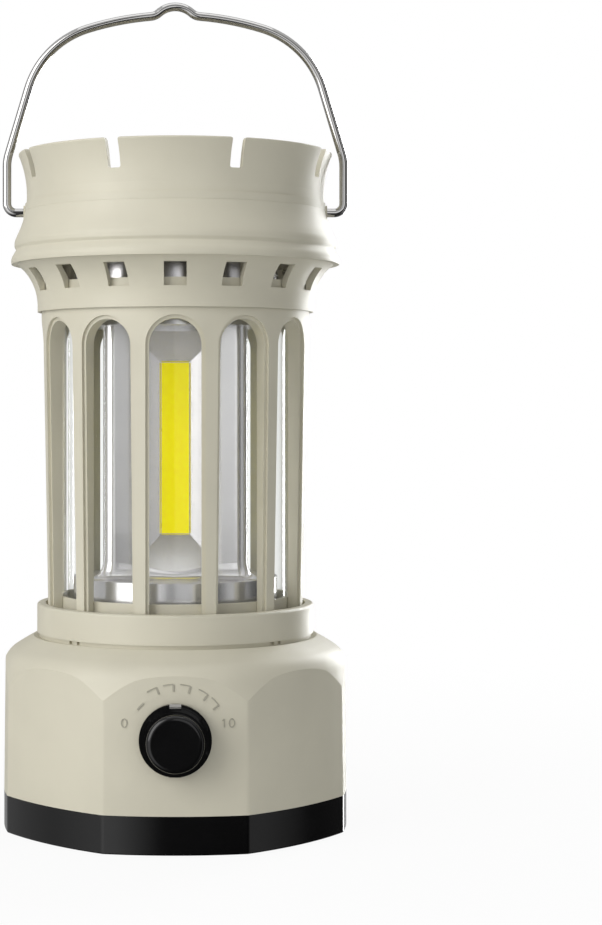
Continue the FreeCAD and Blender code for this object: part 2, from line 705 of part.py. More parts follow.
def shaft_front():
    return knob_back() - KNOB_HOLLOW[1] - SHAFT_GRIP


def on_knob_axis(y):
    return FreeCAD.Vector(0, y, KNOB_HEIGHT)


def make_dimmer_pot():
    body = rod(on_knob_axis(pot_front()), on_knob_axis(control_board_front()), POT_BODY[0])
    bushing = rod(on_knob_axis(pot_front()), on_knob_axis(bushing_end()), BUSHING[0])
    bore = rod(on_knob_axis(bushing_end() - PAST), on_knob_axis(shaft_back() + MOVING_GAP),
               SHAFT_RADIUS + RUNNING_FIT)
    return join([body, bushing]).cut(bore)


def shaft_back():
    return control_board_front() - POT_BODY[1] / 4


def make_dimmer_nut():
    radius = NUT[0] / 2 / math.cos(math.radians(30))
    corners = [FreeCAD.Vector(radius * math.cos(math.radians(60 * k)), nut_seat(),
                              KNOB_HEIGHT + radius * math.sin(math.radians(60 * k))) for k in range(7)]
    hexagon = Part.Face(Part.makePolygon(corners)).extrude(FreeCAD.Vector(0, -NUT[1], 0))
    return hexagon.cut(rod(on_knob_axis(nut_seat() + PAST), on_knob_axis(nut_seat() - NUT[1] - PAST),
                           BUSHING[0]))


def make_dimmer_shaft():
    return rod(on_knob_axis(shaft_back()), on_knob_axis(shaft_front()), SHAFT_RADIUS)


def facing_front(shape):
    """Turns a shape built about +Z, back face at zero, so that it lies on the knob's axis."""
    shape.Placement = FreeCAD.Placement(on_knob_axis(knob_back()), FreeCAD.Rotation(AXIS_X, 90))
    return shape


def make_dimmer_knob():
    flange_top = KNOB_FLANGE[1]
    step_top = flange_top + KNOB_STEP[1]
    cap_start = KNOB_LENGTH - KNOB_CAP[1]
    cap_radius = KNOB_CAP[0]
    lean = KNOB_EDGE * (1 - math.sqrt(0.5))
    outline = [(0, 0), (KNOB_FLANGE[0], 0), (KNOB_FLANGE[0], flange_top), (KNOB_STEP[0], flange_top),
               (KNOB_STEP[0], step_top), (KNOB_BODY, step_top), (KNOB_BODY, cap_start),
               (cap_radius, cap_start), (cap_radius, KNOB_LENGTH - KNOB_EDGE)]
    edges = [flat_line(a, b) for a, b in zip(outline, outline[1:])]
    edges.append(flat_arc(outline[-1], (cap_radius - lean, KNOB_LENGTH - lean),
                          (cap_radius - KNOB_EDGE, KNOB_LENGTH)))
    edges.append(flat_line((cap_radius - KNOB_EDGE, KNOB_LENGTH), (0, KNOB_LENGTH)))
    edges.append(flat_line((0, KNOB_LENGTH), (0, 0)))
    body = revolve_edges(edges)
    width, reach, height = KNOB_LUG
    lug = block((KNOB_HOLLOW[0] + KNOB_LUG_ROOT[0], reach), (-width / 2, width / 2),
                (step_top - KNOB_LUG_ROOT[1], height))
    knob = join([body] + around(lug, KNOB_LUGS, 90))
    grip = shaft_depth()
    cuts = [disc(KNOB_HOLLOW[0], -PAST, KNOB_HOLLOW[1]), disc(SHAFT_RADIUS + SLIP_FIT, -PAST, grip),
            pointer_block(PAST, PAST)]
    return facing_front(knob.cut(cuts))


def shaft_depth():
    return knob_back() - shaft_front()


def pointer_block(stand, overhang):
    """The pointer's block in the knob's frame: how far it stands above the flange and beyond it."""
    width, deep, _ = POINTER
    return block((-width / 2, width / 2), (KNOB_STEP[0], KNOB_FLANGE[0] + overhang),
                 (KNOB_FLANGE[1] - deep, KNOB_FLANGE[1] + stand))


def make_knob_pointer():
    return facing_front(pointer_block(POINTER[2], 0))


# ---- screws and pads of the base ----
def make_cover_screws():
    seat = FOOT_STAND + COVER_SCREW["thick"] + HEAD_SINK
    length = FLOOR_TOP - seat + COVER_SCREW["bite"]
    return Part.makeCompound([screw(COVER_SCREW, FreeCAD.Vector(p.x, p.y, seat), length, UP)
                              for p in post_places()])


def make_grip_pad():
    return disc(PAD_RADIUS, 0, FOOT_STAND + PAD_SINK)


# ---- collar, cage and lens ----
def make_collar_ring():
    ring = tube(COLLAR_RADIUS, CAGE_FOOT_RADIUS + COLLAR_GAP, ROOF_TOP, ROOF_TOP + COLLAR_HEIGHT)
    top = ROOF_TOP + COLLAR_HEIGHT
    rim = [e for e in ring.Edges if e.BoundBox.ZMin > top - 0.01 and e.BoundBox.XMax > COLLAR_RADIUS - 0.1]
    return ring.makeFillet(COLLAR_EDGE, rim)


def cage_outline(depth):
    """The cage's outer side, sunk in by depth, closed along the axis."""
    taper_top = CAGE_TOP - CAGE_TAPER_END
    return [(0, ROOF_TOP), (CAGE_FOOT_RADIUS - depth, ROOF_TOP), (CAGE_TOP_RADIUS - depth, taper_top),
            (CAGE_TOP_RADIUS - depth, CAGE_TOP), (0, CAGE_TOP)]


def arch_cutter(width, sill, inner, outer):
    """A prism along X with a half-round top, to cut one window."""
    half = width / 2
    spring = CAGE_TOP - WINDOW_HEAD - WINDOW_WIDTH / 2
    places = [(-half, sill), (half, sill), (half, spring), (0, spring + half), (-half, spring)]
    left_sill, right_sill, right, crown, left = [FreeCAD.Vector(inner, y, z) for y, z in places]
    wire = Part.Wire([Part.LineSegment(left_sill, right_sill).toShape(),
                      Part.LineSegment(right_sill, right).toShape(),
                      Part.Arc(right, crown, left).toShape(),
                      Part.LineSegment(left, left_sill).toShape()])
    return Part.Face(wire).extrude(FreeCAD.Vector(outer - inner, 0, 0))


def make_cage():
    sill = ROOF_TOP + WINDOW_SILL
    inner = CAGE_INNER / 2
    outer = CAGE_TOP_RADIUS + PAST
    shell = revolve(cage_outline(0)).cut(disc(CAGE_INNER, ROOF_TOP - PAST, CAGE_TOP + PAST))
    windows = around(arch_cutter(WINDOW_WIDTH, sill, inner, outer), WINDOWS, FRONT)
    ledge = arch_cutter(WINDOW_WIDTH + 2 * WINDOW_STEP, sill - WINDOW_STEP, inner, outer)
    ledge = ledge.cut(revolve(cage_outline(WINDOW_STEP_DEPTH)))
    holes = [disc(SMALL_SCREW["core"] + SCREW_FIT, ROOF_TOP - PAST, ROOF_TOP + SMALL_SCREW["bite"], place)
             for place in cage_screw_places()]
    holes += [disc(SMALL_SCREW["core"] + SCREW_FIT, CAGE_TOP - SMALL_SCREW["bite"], CAGE_TOP + PAST, place)
              for place in frame_screw_places()]
    return shell.cut(windows + around(ledge, WINDOWS, FRONT) + holes)


def make_cage_screws():
    length = ROOF + SMALL_SCREW["bite"] - HEAD_ROOM
    return Part.makeCompound([screw(SMALL_SCREW, FreeCAD.Vector(p.x, p.y, ROOF_UNDER), length, UP)
                              for p in cage_screw_places()])


def make_lens_seat():
    floor = tube(CAGE_INNER - SLIP_FIT, DRUM_RADIUS + LENS_FIT, ROOF_TOP, ROOF_TOP + SEAT_FLOOR)
    rim = tube(CAGE_INNER - SLIP_FIT, LENS_RADIUS + LENS_FIT, ROOF_TOP, ROOF_TOP + SEAT_HEIGHT)
    return join([floor, rim])


def gasket(bottom):
    return tube(LENS_RADIUS, LENS_RADIUS - LENS_WALL, bottom, bottom + GASKET)


def make_lens_tube():
    return tube(LENS_RADIUS, LENS_RADIUS - LENS_WALL, LENS_BOTTOM, LENS_TOP)


# ---- light tower ----
def triangle(face, bottom, top, corner=0.0):
    """A three-sided prism, one flat side to the front, its sides this far from the axis."""
    corners = [polar(2 * face, FRONT + 60 + 120 * index, bottom) for index in range(4)]
    prism = Part.Face(Part.makePolygon(corners)).extrude(FreeCAD.Vector(0, 0, top - bottom))
    if corner > 0:
        upright = [e for e in prism.Edges if e.BoundBox.ZLength > (top - bottom) / 2]
        prism = prism.makeFillet(corner, upright)
    return prism


def tray_cutter():
    """The tapered recess of one side, opening towards the front."""
    width, _, length = EMITTER
    floor = -(CORE_FACE + LED_BOARD[1])
    half_floor = width / 2 + SLIP_FIT
    low, high = TRAY_ENDS
    mouth = [(-TRAY_HALF_WIDTH, DRUM_TOP + low), (TRAY_HALF_WIDTH, TOWER_TOP - high)]
    bed = [(-half_floor, EMITTER_MIDDLE - length / 2 - SLIP_FIT),
           (half_floor, EMITTER_MIDDLE + length / 2 + SLIP_FIT)]
    wires = []
    for (left, bottom), (right, top), y in ((bed[0], bed[1], floor), (mouth[0], mouth[1], -TOWER_FACE)):
        corners = [FreeCAD.Vector(x, y, z)
                   for x, z in ((left, bottom), (right, bottom), (right, top), (left, top), (left, bottom))]
        wires.append(Part.makePolygon(corners))
    return Part.makeLoft(wires, True, True)


def led_slot():
    """Room for one board behind the tray, open at the top so that the board slides in."""
    width, thick, length = LED_BOARD
    half = width / 2 + SLIP_FIT
    face = CORE_FACE + thick + SLIP_FIT / 2
    return block((-half, half), (-face, -CORE_FACE / 2), (DRUM_TOP - PAST, TOWER_TOP + PAST))


def make_tower_reflector():
    prism = triangle(TOWER_FACE, DRUM_TOP, TOWER_TOP, TOWER_CORNER)
    core = triangle(CORE_FACE + SLIP_FIT / 2, DRUM_TOP - PAST, TOWER_TOP + PAST)
    core = core.common(disc(CORE_RADIUS + SLIP_FIT, DRUM_TOP - PAST, TOWER_TOP + PAST))
    return prism.cut([core] + around(tray_cutter(), 3) + around(led_slot(), 3))


def core_screw_places():
    return [polar(CORE_SCREW_RADIUS, 90 + 120 * index) for index in range(3)]


def make_heat_sink():
    core = triangle(CORE_FACE, DRUM_TOP, TOWER_TOP).common(disc(CORE_RADIUS, DRUM_TOP, TOWER_TOP))
    cuts = [disc(CORE_BORE, DRUM_TOP - PAST, TOWER_TOP + PAST)]
    bite = SMALL_SCREW["bite"]
    for place in core_screw_places():
        cuts.append(disc(SMALL_SCREW["core"] + SCREW_FIT, DRUM_TOP - PAST, DRUM_TOP + bite, place))
        cuts.append(disc(SMALL_SCREW["core"] + SCREW_FIT, TOWER_TOP - bite, TOWER_TOP + PAST, place))
    return core.cut(cuts)


def on_tower_side(size, depth):
    """A slab lying this far from the axis on the tower's front side, centred on the light."""
    width, thick, length = size
    return block((-width / 2, width / 2), (-depth - thick, -depth),
                 (EMITTER_MIDDLE - length / 2, EMITTER_MIDDLE + length / 2))


def make_reflector_base():
    wall = tube(DRUM_RADIUS, DRUM_RADIUS - DRUM_WALL, ROOF_TOP, DRUM_TOP)
    plate = disc(DRUM_RADIUS, DRUM_TOP - DRUM_PLATE, DRUM_TOP)
    bosses = [disc(DRUM_BOSS[0], ROOF_TOP, DRUM_TOP, place) for place in drum_screw_places()]
    cuts = [disc(LEAD_HOLE, ROOF_TOP, DRUM_TOP + PAST)]
    for place in drum_screw_places():
        cuts.append(disc(SMALL_SCREW["core"] + SCREW_FIT, ROOF_TOP - PAST,
                         ROOF_TOP + SMALL_SCREW["bite"], place))
    for place in core_screw_places():
        cuts.append(disc(SMALL_SCREW["core"] + SCREW_FIT, ROOF_TOP, DRUM_TOP + PAST, place))
    return join([wall, plate] + bosses).cut(cuts)


def make_drum_screws():
    length = ROOF + SMALL_SCREW["bite"] - HEAD_ROOM
    return Part.makeCompound([screw(SMALL_SCREW, FreeCAD.Vector(p.x, p.y, ROOF_UNDER), length, UP)
                              for p in drum_screw_places()])


def make_core_screws():
    seat = DRUM_TOP - DRUM_PLATE
    length = DRUM_PLATE + SMALL_SCREW["bite"] - HEAD_ROOM
    return Part.makeCompound([screw(SMALL_SCREW, FreeCAD.Vector(p.x, p.y, seat), length, UP)
                              for p in core_screw_places()])


def make_cap_screws():
    seat = TOWER_TOP + DRUM_PLATE
    length = DRUM_PLATE + SMALL_SCREW["bite"] - HEAD_ROOM
    down = FreeCAD.Vector(0, 0, -1)
    return Part.makeCompound([screw(SMALL_SCREW, FreeCAD.Vector(p.x, p.y, seat), length, down)
                              for p in core_screw_places()])


def make_reflector_cap():
    floor = disc(DRUM_RADIUS, TOWER_TOP, TOWER_TOP + DRUM_PLATE)
    wall = tube(DRUM_RADIUS, DRUM_RADIUS - DRUM_WALL, TOWER_TOP, CORBEL_TOP)
    flange_radius, flange = CAP_FLANGE
    low = LENS_TOP + GASKET
    brim = tube(flange_radius, DRUM_RADIUS - DRUM_WALL, low, low + flange)
    holes = [disc(SMALL_SCREW["core"] + SCREW_FIT, TOWER_TOP - PAST, TOWER_TOP + PAST, place)
             for place in core_screw_places()]
    return join([floor, wall, brim]).cut(holes)


# ---- corbel ring and top plate ----
def frame_screw_places():
    return [polar(PLATE_POST[1], FRONT + 90 * index + 540.0 / PORTS) for index in range(4)]


def crown_screw_places():
    return [polar(LUG[1], FRONT + 90 * index + 180.0 / PORTS) for index in range(4)]


def corbel_profile(inner):
    """The corbel's section: a short skirt, then a hollow cove that flares to the top."""
    cove_start = CORBEL_BOTTOM + CORBEL_SKIRT
    centre = CORBEL_RADIUS + CORBEL_COVE

    def cove(z):
        return centre - math.sqrt(CORBEL_COVE ** 2 - (z - cove_start) ** 2)

    top_radius = cove(CORBEL_TOP)
    half_way = (cove_start + CORBEL_TOP) / 2
    corner = (top_radius, CORBEL_TOP)
    edges = [flat_line((inner[0][0], CORBEL_BOTTOM), (CORBEL_RADIUS, CORBEL_BOTTOM)),
             flat_line((CORBEL_RADIUS, CORBEL_BOTTOM), (CORBEL_RADIUS, cove_start)),
             flat_arc((CORBEL_RADIUS, cove_start), (cove(half_way), half_way), corner),
             flat_line(corner, inner[-1])]
    backwards = list(reversed(inner))
    edges += [flat_line(a, b) for a, b in zip(backwards, backwards[1:])]
    return edges, top_radius


def make_corbel_ring():
    inner_radius = CAGE_TOP_RADIUS + CORBEL_GAP
    bare = corbel_profile([(0, CORBEL_BOTTOM), (0, CORBEL_TOP)])
    solid = revolve_edges(bare[0])
    top_inner = bare[1] - CORBEL_TOP_WALL
    inner = [(inner_radius, CORBEL_BOTTOM), (inner_radius, CAGE_TOP + CORBEL_GAP), (top_inner, CORBEL_TOP)]
    ring = revolve_edges(corbel_profile(inner)[0])
    lugs = [disc(LUG[0], CAGE_TOP + CORBEL_GAP, CORBEL_TOP, place).common(solid)
            for place in crown_screw_places()]
    ring = join([ring] + lugs)
    port_top = CORBEL_TOP - PORT_DROP
    port = block((CAGE_INNER, PLATE_RADIUS + PAST), (-PORT_WIDTH / 2, PORT_WIDTH / 2),
                 (port_top - PORT_HEIGHT, port_top))
    holes = [disc(SMALL_SCREW["core"] + SCREW_FIT, CORBEL_TOP - LUG[2], CORBEL_TOP + PAST, place)
             for place in crown_screw_places()]
    return ring.cut(around(port, PORTS, FRONT) + holes)


def make_top_plate():
    plate = disc(PLATE_RADIUS - SLIP_FIT, CORBEL_TOP, PLATE_TOP)
    posts = [disc(PLATE_POST[0], CAGE_TOP, CORBEL_TOP, place) for place in frame_screw_places()]
    holes = [disc(SMALL_SCREW["core"] + SCREW_FIT, CAGE_TOP - PAST, PLATE_TOP + PAST, place)
             for place in frame_screw_places() + crown_screw_places()]
    return join([plate] + posts).cut(holes)


def make_frame_screws():
    length = PLATE + CORBEL_RISE + SMALL_SCREW["bite"] - HEAD_ROOM
    down = FreeCAD.Vector(0, 0, -1)
    return Part.makeCompound([screw(SMALL_SCREW, FreeCAD.Vector(p.x, p.y, PLATE_TOP), length, down)
                              for p in frame_screw_places()])


def make_crown_screws():
    length = LEDGE_TOP - CORBEL_TOP + LUG[2] - HEAD_ROOM
    down = FreeCAD.Vector(0, 0, -1)
    return Part.makeCompound([screw(SMALL_SCREW, FreeCAD.Vector(p.x, p.y, LEDGE_TOP), length, down)
                              for p in crown_screw_places()])


# ---- crown ----
def wall_arc(start, end, waist_radius, waist_height):
    """An arc that runs straight up where it meets the crown's waist."""
    radius, z = start if end[1] == waist_height else end
    rise = z - waist_height
    out = radius - waist_radius
    bend = (rise ** 2 + out ** 2) / (2 * out)
    z_middle = (start[1] + end[1]) / 2
    middle = waist_radius + bend - math.sqrt(bend ** 2 - (z_middle - waist_height) ** 2)
    return flat_arc(start, (middle, z_middle), end)


def crown_body():
    foot = CROWN_FOOT
    bowl = (CROWN_BOWL[0], foot + CROWN_BOWL[1])
    waist = (CROWN_WAIST[0], foot + CROWN_WAIST[1])
    rim = (CROWN_RIM_RADIUS, CROWN_TOP)
    outer = [(CROWN_FLANGE[0] - CROWN_FLANGE[2], foot), (CROWN_FLANGE[0], foot + CROWN_FLANGE[1]),
             (CROWN_GROOVE[0], foot + CROWN_GROOVE[1]), (CROWN_RIDGE[0], foot + CROWN_RIDGE[1]),
             (CROWN_RIDGE[0], foot + CROWN_RIDGE[2]), bowl]
    edges = rounded_edges(outer, CROWN_ROUNDS)
    edges.append(wall_arc(bowl, waist, *waist))
    edges.append(wall_arc(waist, rim, *waist))
    inner = [(r - CROWN_WALL, z) for r, z in (rim, waist, bowl)]
    edges.append(flat_line(rim, inner[0]))
    edges.append(wall_arc(inner[0], inner[1], *inner[1]))
    edges.append(wall_arc(inner[1], inner[2], *inner[1]))
    low = [inner[2], (inner[2][0], LEDGE_TOP), (CROWN_LEDGE[0], LEDGE_TOP), (CROWN_LEDGE[0], PLATE_TOP),
           (PLATE_RADIUS, PLATE_TOP), (PLATE_RADIUS, foot), outer[0]]
    edges += [flat_line(a, b) for a, b in zip(low, low[1:])]
    body = revolve_edges(edges)
    return body.makeFillet(RIM_ROUND, [e for e in body.Edges if e.BoundBox.ZMin > CROWN_TOP - RIM_ROUND / 10])


def notch_cutter():
    """One notch, with rounded corners at its floor and at the rim."""
    half = NOTCH[0] / 2
    floor = CROWN_TOP - NOTCH[1]
    lip = NOTCH_LIP
    side = half + 2 * lip
    points = [(-side, CROWN_TOP + PAST), (-side, CROWN_TOP), (-half, CROWN_TOP), (-half, floor),
              (half, floor), (half, CROWN_TOP), (side, CROWN_TOP), (side, CROWN_TOP + PAST)]
    edges = rounded_edges(points, (0, lip, NOTCH_CORNER, NOTCH_CORNER, lip, 0))
    edges.append(flat_line(points[-1], points[0]))
    cut = Part.Face(Part.Wire(edges)).extrude(FreeCAD.Vector(0, CROWN_RIM_RADIUS + PAST, 0))
    cut.rotate(ORIGIN, UP, FRONT)
    return cut


def make_crown():
    low, high, stand = CROWN_BAND
    waist = CROWN_WAIST[0]
    band = tube(waist + stand, waist - CROWN_WALL / 2, CROWN_FOOT + low, CROWN_FOOT + high)
    pieces = [crown_body(), band]
    radius, inner = BAIL_BOSS
    pad, pad_stand = BAIL_PAD
    for side in (-1, 1):
        start = FreeCAD.Vector(side * inner, 0, PIVOT)
        pieces.append(rod(start, FreeCAD.Vector(side * waist, 0, PIVOT), radius))
        span = sorted((side * (waist - CROWN_WALL / 2), side * (waist + pad_stand)))
        pieces.append(block(span, (-pad / 2, pad / 2), (PIVOT - pad / 2, PIVOT + pad / 2)))
    bore = rod(FreeCAD.Vector(-BAIL_HALF_SPAN, 0, PIVOT), FreeCAD.Vector(BAIL_HALF_SPAN, 0, PIVOT),
               WIRE_RADIUS + RUNNING_FIT)
    screws = [disc(SMALL_SCREW["core"] + SCREW_FIT, PLATE_TOP - PAST, LEDGE_TOP + PAST, place)
              for place in crown_screw_places()]
    notches = around(notch_cutter(), NOTCHES, FRONT + 180.0 / NOTCHES)
    return join(pieces).cut(notches + screws + [bore])


# ---- bail ----
def arc_between(centre, radius, start, end):
    """An arc's middle point, for the shorter way round from start to end."""
    x = (start[0] + end[0]) / 2 - centre[0]
    z = (start[1] + end[1]) / 2 - centre[1]
    size = math.hypot(x, z)
    return centre[0] + x / size * radius, centre[1] + z / size * radius


def toward(start, end, distance):
    size = math.hypot(end[0] - start[0], end[1] - start[1])
    return (start[0] + (end[0] - start[0]) * distance / size,
            start[1] + (end[1] - start[1]) * distance / size)


def bail_half():
    """The right half of the bail's centre line, from its end inside the crown to the hump's top."""
    inner = BAIL_BOSS[1] - MOVING_GAP
    lean = math.radians(BAIL_LEAN)
    end = (inner, PIVOT)
    heel = (BAIL_HALF_SPAN, PIVOT)
    knee = (BAIL_HALF_SPAN, PIVOT + BAIL_LEG)
    along = (-math.sin(lean), math.cos(lean))
    arch_centre = (0.0, PIVOT + BAIL_RISE - BAIL_ARCH)
    # the shoulder arc touches the leaning leg and the arch from inside
    offset = (knee[0] - BAIL_SHOULDER * math.cos(lean), knee[1] - BAIL_SHOULDER * math.sin(lean))
    rel = (offset[0] - arch_centre[0], offset[1] - arch_centre[1])
    half_b = rel[0] * along[0] + rel[1] * along[1]
    c = rel[0] ** 2 + rel[1] ** 2 - (BAIL_ARCH - BAIL_SHOULDER) ** 2
    travel = -half_b + math.sqrt(half_b ** 2 - c)
    leg_top = (knee[0] + along[0] * travel, knee[1] + along[1] * travel)
    shoulder = (offset[0] + along[0] * travel, offset[1] + along[1] * travel)
    shoulder_end = toward(arch_centre, shoulder, BAIL_ARCH)
    # the hump's foot arc touches the arch and the hump's top arc from outside
    hump_centre = (0.0, PIVOT + BAIL_RISE + HUMP_RISE - HUMP_RADIUS)
    far = BAIL_ARCH + HUMP_FOOT
    near = HUMP_RADIUS + HUMP_FOOT
    drop = hump_centre[1] - arch_centre[1]
    rise = (far ** 2 - near ** 2 + drop ** 2) / (2 * drop)
    foot_centre = (math.sqrt(far ** 2 - rise ** 2), arch_centre[1] + rise)
    foot = toward(arch_centre, foot_centre, BAIL_ARCH)
    brow = toward(hump_centre, foot_centre, HUMP_RADIUS)
    top = (0.0, hump_centre[1] + HUMP_RADIUS)
    heel_arc = fillet_points(heel, end, knee, BAIL_HEEL)
    knee_arc = fillet_points(knee, heel, leg_top, BAIL_KNEE)
    edges = [flat_line(end, heel_arc[0]), flat_arc(*heel_arc), flat_line(heel_arc[2], knee_arc[0]),
             flat_arc(*knee_arc), flat_line(knee_arc[2], leg_top),
             flat_arc(leg_top, arc_between(shoulder, BAIL_SHOULDER, leg_top, shoulder_end), shoulder_end),
             flat_arc(shoulder_end, arc_between(arch_centre, BAIL_ARCH, shoulder_end, foot), foot),
             flat_arc(foot, arc_between(foot_centre, HUMP_FOOT, foot, brow), brow),
             flat_arc(brow, arc_between(hump_centre, HUMP_RADIUS, brow, top), top)]
    return end, edges


def make_bail_handle():
    end, edges = bail_half()
    path = Part.Wire(edges)
    start = FreeCAD.Vector(end[0], 0, end[1])
    section = Part.Wire(Part.makeCircle(WIRE_RADIUS, start, AXIS_X))
    half = path.makePipeShell([section], True, False)
    head_radius, head = BAIL_HEAD
    head_end = rod(start, FreeCAD.Vector(start.x - head, 0, start.z), head_radius)
    half = half.fuse(head_end)
    other = half.mirror(ORIGIN, AXIS_X)
    return join([half, other])


# ---- write every node ----
def build():
    os.makedirs("parts", exist_ok=True)
    board = on_tower_side(LED_BOARD, CORE_FACE)
    emitter = on_tower_side(EMITTER, CORE_FACE + LED_BOARD[1])
    nodes = {
        "base_cover": make_base_cover(),
        "grip_pad": make_grip_pad(),
        "cover_screws": make_cover_screws(),
        "base_housing": make_base_housing(),
        "battery_cradle": make_battery_cradle(),
        "battery_cell": make_battery_cell(),
        "battery_contacts": make_battery_contacts(),
        "charge_board": make_charge_board(),
        "board_screws": make_board_screws(),
        "usb_socket": make_usb_socket(),
        "port_cover": make_port_cover(),
        "control_board": make_control_board(),
        "battery_lead": make_battery_lead(),
        "led_lead": make_led_lead(),
        "dimmer_pot": make_dimmer_pot(),
        "dimmer_nut": make_dimmer_nut(),
        "dimmer_shaft": make_dimmer_shaft(),
        "dimmer_knob": make_dimmer_knob(),
        "knob_pointer": make_knob_pointer(),
        "collar_ring": make_collar_ring(),
        "cage": make_cage(),
        "cage_screws": make_cage_screws(),
        "lens_seat": make_lens_seat(),
        "lens_gasket_lower": gasket(LENS_BOTTOM - GASKET),
        "lens_tube": make_lens_tube(),
        "lens_gasket_upper": gasket(LENS_TOP),
        "reflector_base": make_reflector_base(),
        "drum_screws": make_drum_screws(),
        "core_screws": make_core_screws(),
        "tower_reflector": make_tower_reflector(),
        "heat_sink": make_heat_sink(),
        "reflector_cap": make_reflector_cap(),
        "cap_screws": make_cap_screws(),
        "corbel_ring": make_corbel_ring(),
        "top_plate": make_top_plate(),
        "frame_screws": make_frame_screws(),
        "crown": make_crown(),
        "crown_screws": make_crown_screws(),
        "bail_handle": make_bail_handle(),
    }
    for index, side in enumerate(around(board, 3)):
        nodes["led_board_" + str(index + 1)] = side
    for index, side in enumerate(around(emitter, 3)):
        nodes["led_emitter_" + str(index + 1)] = side
    for name, shape in nodes.items():
        save(name, shape)


build()
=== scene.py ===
import bpy
import bmesh
import json
import math
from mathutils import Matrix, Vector
from mathutils.bvhtree import BVHTree


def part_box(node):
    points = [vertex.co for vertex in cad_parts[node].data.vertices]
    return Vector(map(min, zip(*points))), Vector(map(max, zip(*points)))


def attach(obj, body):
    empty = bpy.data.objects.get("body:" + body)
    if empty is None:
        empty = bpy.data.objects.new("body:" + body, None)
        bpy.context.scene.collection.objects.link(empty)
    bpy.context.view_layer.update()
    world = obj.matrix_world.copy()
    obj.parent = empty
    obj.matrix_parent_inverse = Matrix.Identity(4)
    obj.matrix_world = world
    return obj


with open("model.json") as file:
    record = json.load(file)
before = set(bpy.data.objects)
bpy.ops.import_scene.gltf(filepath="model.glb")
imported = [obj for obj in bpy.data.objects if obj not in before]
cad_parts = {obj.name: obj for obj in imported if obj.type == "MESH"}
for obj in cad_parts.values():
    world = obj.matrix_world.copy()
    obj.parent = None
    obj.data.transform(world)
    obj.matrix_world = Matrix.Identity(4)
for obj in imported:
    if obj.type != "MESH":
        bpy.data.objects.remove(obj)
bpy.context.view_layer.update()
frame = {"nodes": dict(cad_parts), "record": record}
nodes = frame["nodes"]

MM = 0.001
WHITE = (1.0, 1.0, 1.0)


def add_object(name, data):
    thing = bpy.data.objects.new(name, data)
    bpy.context.scene.collection.objects.link(thing)
    return thing


# ---- camera: the eye is a little above the middle of the lantern, looking straight ahead ----
EYE_DISTANCE = 619.3 * MM
EYE_HEIGHT = 125.8 * MM
LEVEL_GAZE = math.radians(90)
LENS = 80.0
SENSOR = 36.0
SHIFT_X = 0.1359
SHIFT_Y = -0.0659


def make_camera():
    data = bpy.data.cameras.new("camera")
    data.lens = LENS
    data.sensor_width = SENSOR
    data.shift_x = SHIFT_X
    data.shift_y = SHIFT_Y
    camera = add_object("camera", data)
    camera.location = (0.0, -EYE_DISTANCE, EYE_HEIGHT)
    camera.rotation_euler = (LEVEL_GAZE, 0.0, 0.0)
    bpy.context.scene.camera = camera


# ---- node-tree helpers ----
HALFWAY = 0.5  # where a ramp's new stops start out, before each gets its own position


class Tree:
    """A node tree, emptied but for its output, with short ways to add and join nodes."""

    def __init__(self, tree, output_kind):
        self.tree = tree
        self.tree.nodes.clear()
        self.output = self.add(output_kind)

    def add(self, kind, **settings):
        node = self.tree.nodes.new(kind)
        for key, value in settings.items():
            setattr(node, key, value)
        return node

    def link(self, source, out, target, into):
        self.tree.links.new(source.outputs[out], target.inputs[into])

    def finish(self, surface):
        self.link(surface, 0, self.output, "Surface")

    def place(self):
        """Object is the point in metres in the lantern's frame. In the world, Generated is the direction."""
        return self.add("ShaderNodeTexCoord")

    def noise(self, scale, detail=3.0):
        """Noise with features about 1/scale metres across."""
        node = self.add("ShaderNodeTexNoise")
        node.inputs["Scale"].default_value = scale
        node.inputs["Detail"].default_value = detail
        self.link(self.place(), "Object", node, "Vector")
        return node

    def ramp(self, source, out, stops):
        """A colour ramp over stops of (position, (r, g, b)), two or more."""
        node = self.add("ShaderNodeValToRGB")
        elements = node.color_ramp.elements
        while len(elements) < len(stops):
            elements.new(HALFWAY)
        for element, (position, colour) in zip(elements, stops):
            element.position = position
            element.color = (*colour, 1.0)
        self.link(source, out, node, "Fac")
        return node

    def span(self, source, out, low, high, start=0.3, end=0.7):
        """Maps a value from start..end to low..high."""
        node = self.add("ShaderNodeMapRange")
        for name, value in (("From Min", start), ("From Max", end), ("To Min", low), ("To Max", high)):
            node.inputs[name].default_value = value
        self.link(source, out, node, "Value")
        return node

    def combine(self, operation, first, second):
        """A Math node over two (node, output) sources."""
        node = self.add("ShaderNodeMath", operation=operation)
        self.link(*first, node, 0)
        self.link(*second, node, 1)
        return node

    def seen(self, rays):
        """1 for rays by which the camera sees, straight or through a clear piece."""
        return self.combine("MAXIMUM", (rays, "Is Camera Ray"), (rays, "Is Transmission Ray"))

    def mix(self, share, out, first, second):
        """A shader that goes from the first to the second as the share goes from 0 to 1."""
        node = self.add("ShaderNodeMixShader")
        self.link(share, out, node, "Fac")
        self.link(first, 0, node, 1)
        self.link(second, 0, node, 2)
        return node


class Shader(Tree):
    """A new material."""

    def __init__(self, name):
        self.material = bpy.data.materials.new(name)
        self.material.use_nodes = True
        super().__init__(self.material.node_tree, "ShaderNodeOutputMaterial")

    def principled(self, **values):
        """The material's surface, with constants set on its own sockets."""
        body = self.add("ShaderNodeBsdfPrincipled")
        for key, value in values.items():
            body.inputs[key.replace("_", " ")].default_value = value
        self.finish(body)
        return body

    def bump(self, source, out, strength, distance, body):
        node = self.add("ShaderNodeBump")
        node.inputs["Strength"].default_value = strength
        node.inputs["Distance"].default_value = distance
        self.link(source, out, node, "Height")
        self.link(node, 0, body, "Normal")


# ---- materials: scales are in features per metre, bump depths in metres ----
def scaled(colour, factor):
    return tuple(min(1.0, c * factor) for c in colour)


